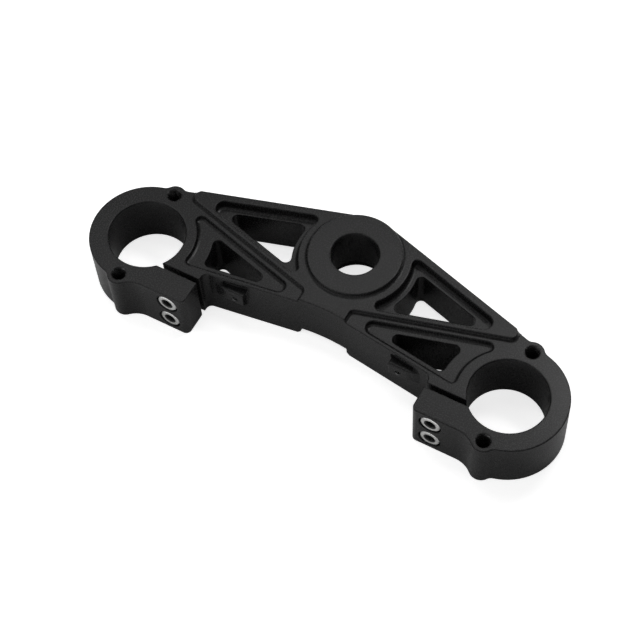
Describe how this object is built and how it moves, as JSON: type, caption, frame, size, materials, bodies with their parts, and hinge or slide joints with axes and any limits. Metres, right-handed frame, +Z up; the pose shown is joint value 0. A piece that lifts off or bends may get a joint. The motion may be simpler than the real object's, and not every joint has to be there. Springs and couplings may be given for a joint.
{
  "type": "motorcycle triple clamp",
  "caption": "Motorcycle lower triple clamp: a ribbed black yoke with a split fork clamp at each end, a stem boss at its rear apex and socket head pinch screws.",
  "frame": {"origin": "on the steering axis, level with the top faces of the fork clamps", "axes": "+Z up the steering axis, +X towards the rider's left fork leg, +Y to the rear of the motorcycle"},
  "size_m": [0.3232, 0.1147, 0.0429],
  "materials": {
    "yoke": "satin black anodised",
    "pinch_screws": "bright zinc plated"
  },
  "bodies": {
    "root": {"yoke": "yoke", "pinch_screws": "pinch_screws"}
  },
  "joints": []
}
